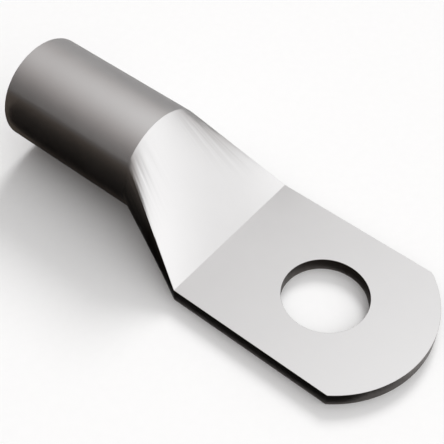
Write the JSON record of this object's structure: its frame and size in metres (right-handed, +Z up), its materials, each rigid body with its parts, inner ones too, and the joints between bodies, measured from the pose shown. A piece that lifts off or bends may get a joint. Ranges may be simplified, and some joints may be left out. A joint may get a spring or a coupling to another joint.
{
  "type": "cable lug",
  "caption": "Tubular crimp lug: a round barrel for a stripped conductor tapers to a flat palm with an arched tip and a stud hole. Silver-grey, tin-plated copper.",
  "frame": {"origin": "on the palm's underside, at the centre of the stud hole", "axes": "+X along the lug from the barrel's mouth towards the palm's tip, +Z up along the stud hole out of the palm's upper face, +Y across the palm"},
  "size_m": [0.0587, 0.0216, 0.0145],
  "materials": {
    "tin_plate": "satin tin plate"
  },
  "bodies": {
    "root": {"lug": "tin_plate"}
  },
  "joints": []
}
